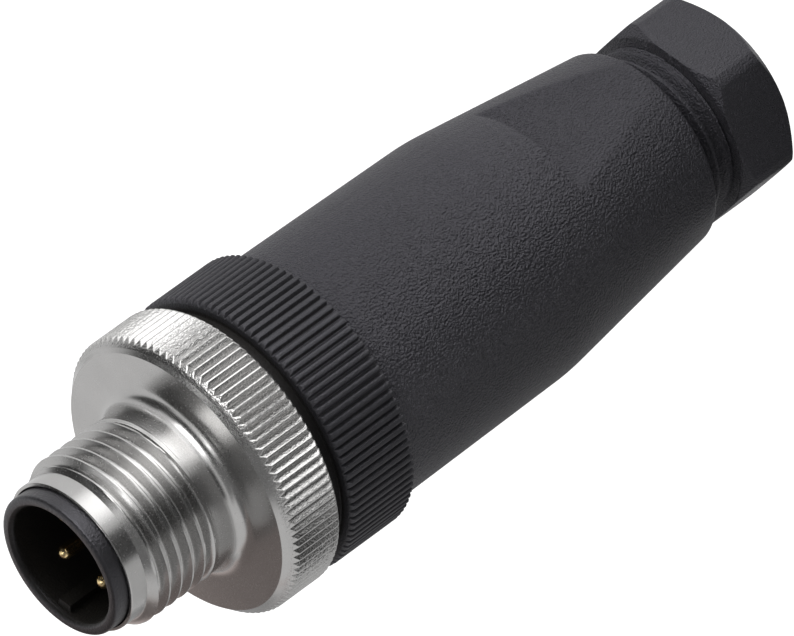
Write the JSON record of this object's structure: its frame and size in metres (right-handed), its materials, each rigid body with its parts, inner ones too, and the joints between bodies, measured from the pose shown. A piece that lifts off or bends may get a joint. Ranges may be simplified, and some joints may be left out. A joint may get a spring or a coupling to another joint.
{
  "type": "cable connector",
  "caption": "Straight circular cable connector: threaded metal coupling screw with knurled flange, plastic insert with pins, knurled grip ring, tapered sleeve and hexagon pressing screw.",
  "frame": {"origin": "centre of the rear face of the pressing screw, on which the connector stands", "axes": "+Z along the connector's axis towards the mating face; +X towards the coding rib in the cavity and across the sleeve's two wrench flats"},
  "size_m": [0.02, 0.02, 0.059],
  "materials": {
    "nickel": "satin nickel plate on turned brass",
    "insert_plastic": "black moulded plastic, slight sheen",
    "body_plastic": "black moulded plastic with a fine eroded texture",
    "gold": "bright gold plate on brass",
    "spring_steel": "plain stainless spring steel",
    "zinc_steel": "zinc-plated steel",
    "seal_rubber": "black rubber",
    "cage_plastic": "black moulded plastic, natural gloss"
  },
  "bodies": {
    "insert": {"contact_insert": "insert_plastic", "terminal_block": "insert_plastic", "retaining_ring": "spring_steel", "grip_ring": "body_plastic", "contact_pin_1": "gold", "contact_pin_2": "gold", "contact_pin_3": "gold", "contact_pin_4": "gold"},
    "coupling_screw": {"coupling_screw": "nickel"},
    "gasket": {"sleeve_gasket": "seal_rubber"},
    "sleeve": {"sleeve": "body_plastic"},
    "gland": {"clamping_cage": "cage_plastic", "cable_seal": "seal_rubber"},
    "pressing_screw": {"pressing_screw": "body_plastic"},
    "plate_1": {"pressure_plate_1": "spring_steel"},
    "terminal_1": {"terminal_screw_1": "zinc_steel"},
    "plate_2": {"pressure_plate_2": "spring_steel"},
    "terminal_2": {"terminal_screw_2": "zinc_steel"},
    "plate_3": {"pressure_plate_3": "spring_steel"},
    "terminal_3": {"terminal_screw_3": "zinc_steel"},
    "plate_4": {"pressure_plate_4": "spring_steel"},
    "terminal_4": {"terminal_screw_4": "zinc_steel"}
  },
  "joints": [
    {"name": "coupling_turn", "type": "hinge", "parent": "insert", "child": "coupling_screw", "pos_m": [0, 0, 0.0465], "axis": [0, 0, 1], "continuous": true},
    {"name": "sleeve_travel", "type": "slide", "parent": "insert", "child": "gasket", "axis": [0, 0, 1], "range_m": [-0.0048, 0]},
    {"name": "sleeve_turn", "type": "hinge", "parent": "gasket", "child": "sleeve", "pos_m": [0, 0, 0.0345], "axis": [0, 0, 1], "range_deg": [-1728, 0]},
    {"name": "gland_travel", "type": "slide", "parent": "sleeve", "child": "gland", "axis": [0, 0, 1], "range_m": [-0.0053, 0.0026]},
    {"name": "pressing_screw_turn", "type": "hinge", "parent": "gland", "child": "pressing_screw", "pos_m": [0, 0, 0.01], "axis": [0, 0, 1], "range_deg": [-1908, 936]},
    {"name": "plate_1_travel", "type": "slide", "parent": "insert", "child": "plate_1", "axis": [-0.7071, -0.7071, 0], "range_m": [0, 0.0009]},
    {"name": "terminal_screw_1_turn", "type": "hinge", "parent": "plate_1", "child": "terminal_1", "pos_m": [0.00325, 0.00325, 0.0305], "axis": [-0.7071, -0.7071, 0], "range_deg": [0, 926]},
    {"name": "plate_2_travel", "type": "slide", "parent": "insert", "child": "plate_2", "axis": [0.7071, -0.7071, 0], "range_m": [0, 0.0009]},
    {"name": "terminal_screw_2_turn", "type": "hinge", "parent": "plate_2", "child": "terminal_2", "pos_m": [-0.00325, 0.00325, 0.0305], "axis": [0.7071, -0.7071, 0], "range_deg": [0, 926]},
    {"name": "plate_3_travel", "type": "slide", "parent": "insert", "child": "plate_3", "axis": [0.7071, 0.7071, 0], "range_m": [0, 0.0009]},
    {"name": "terminal_screw_3_turn", "type": "hinge", "parent": "plate_3", "child": "terminal_3", "pos_m": [-0.00325, -0.00325, 0.0305], "axis": [0.7071, 0.7071, 0], "range_deg": [0, 926]},
    {"name": "plate_4_travel", "type": "slide", "parent": "insert", "child": "plate_4", "axis": [-0.7071, 0.7071, 0], "range_m": [0, 0.0009]},
    {"name": "terminal_screw_4_turn", "type": "hinge", "parent": "plate_4", "child": "terminal_4", "pos_m": [0.00325, -0.00325, 0.0305], "axis": [-0.7071, 0.7071, 0], "range_deg": [0, 926]}
  ],
  "couplings": [
    {"joint": "sleeve_turn", "follows": "sleeve_travel", "rad_per_m": 6283.2},
    {"joint": "pressing_screw_turn", "follows": "gland_travel", "rad_per_m": 6283.2},
    {"joint": "terminal_screw_1_turn", "follows": "plate_1_travel", "rad_per_m": 17952},
    {"joint": "terminal_screw_2_turn", "follows": "plate_2_travel", "rad_per_m": 17952},
    {"joint": "terminal_screw_3_turn", "follows": "plate_3_travel", "rad_per_m": 17952},
    {"joint": "terminal_screw_4_turn", "follows": "plate_4_travel", "rad_per_m": 17952}
  ]
}
